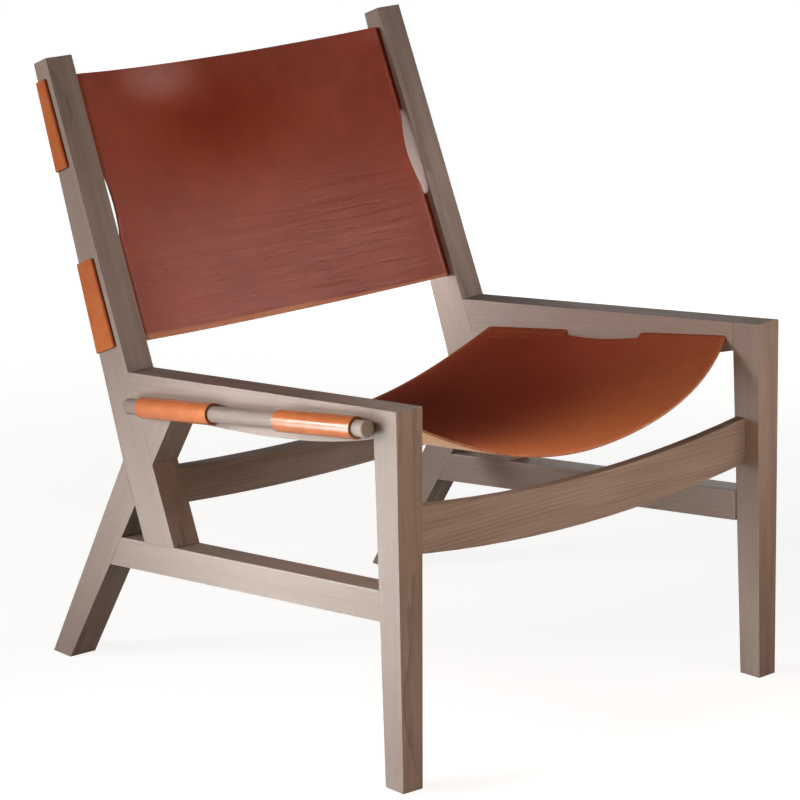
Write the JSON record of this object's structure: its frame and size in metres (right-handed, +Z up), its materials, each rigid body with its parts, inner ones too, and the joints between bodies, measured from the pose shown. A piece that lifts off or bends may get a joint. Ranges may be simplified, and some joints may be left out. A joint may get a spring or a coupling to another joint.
{
  "type": "sling lounge chair",
  "caption": "Low lounge chair with splayed stained-wood side frames, bowed cross rails, a leather back tabbed into slotted posts and a leather seat whose loops hang on rods.",
  "frame": {"origin": "on the floor under the middle of the chair's box", "axes": "+Z up, -Y the way the sitter faces, +X to the viewer's right when the chair faces the viewer"},
  "size_m": [0.7184, 0.7282, 0.8003],
  "materials": {
    "wood": "grey-brown stained hardwood, satin",
    "tenon_wood": "plain unstained beech, hidden in the joints",
    "leather": "thick reddish-brown saddle leather, waxed on top, tan suede below",
    "brass": "aged brass, satin"
  },
  "bodies": {
    "frame": {"left_front_leg": "wood", "left_arm_rail": "wood", "left_back_post": "wood", "left_rear_leg": "wood", "left_lower_stretcher": "wood", "left_arm_front_tenon": "tenon_wood", "left_arm_rear_tenon": "tenon_wood", "left_stretcher_front_tenon": "tenon_wood", "left_stretcher_rear_tenon": "tenon_wood", "left_post_foot_tenon": "tenon_wood", "left_front_cross_tenon": "tenon_wood", "left_rear_cross_tenon": "tenon_wood", "left_tab_screw_1": "brass", "left_tab_screw_2": "brass", "left_tab_screw_3": "brass", "left_tab_screw_4": "brass", "right_front_leg": "wood", "right_arm_rail": "wood", "right_back_post": "wood", "right_rear_leg": "wood", "right_lower_stretcher": "wood", "right_arm_front_tenon": "tenon_wood", "right_arm_rear_tenon": "tenon_wood", "right_stretcher_front_tenon": "tenon_wood", "right_stretcher_rear_tenon": "tenon_wood", "right_post_foot_tenon": "tenon_wood", "right_front_cross_tenon": "tenon_wood", "right_rear_cross_tenon": "tenon_wood", "right_tab_screw_1": "brass", "right_tab_screw_2": "brass", "right_tab_screw_3": "brass", "right_tab_screw_4": "brass", "front_cross_rail": "wood", "rear_cross_rail": "wood", "back_sling": "leather", "seat_sling": "leather"},
    "left_rod": {"left_seat_rod": "wood"},
    "right_rod": {"right_seat_rod": "wood"}
  },
  "joints": [
    {"name": "left_rod_slide", "type": "slide", "parent": "frame", "child": "left_rod", "axis": [-0.0375, -0.9885, 0.1465], "range_m": [-0.45, 0.46]},
    {"name": "right_rod_slide", "type": "slide", "parent": "frame", "child": "right_rod", "axis": [0.0375, -0.9885, 0.1465], "range_m": [-0.45, 0.46]}
  ]
}
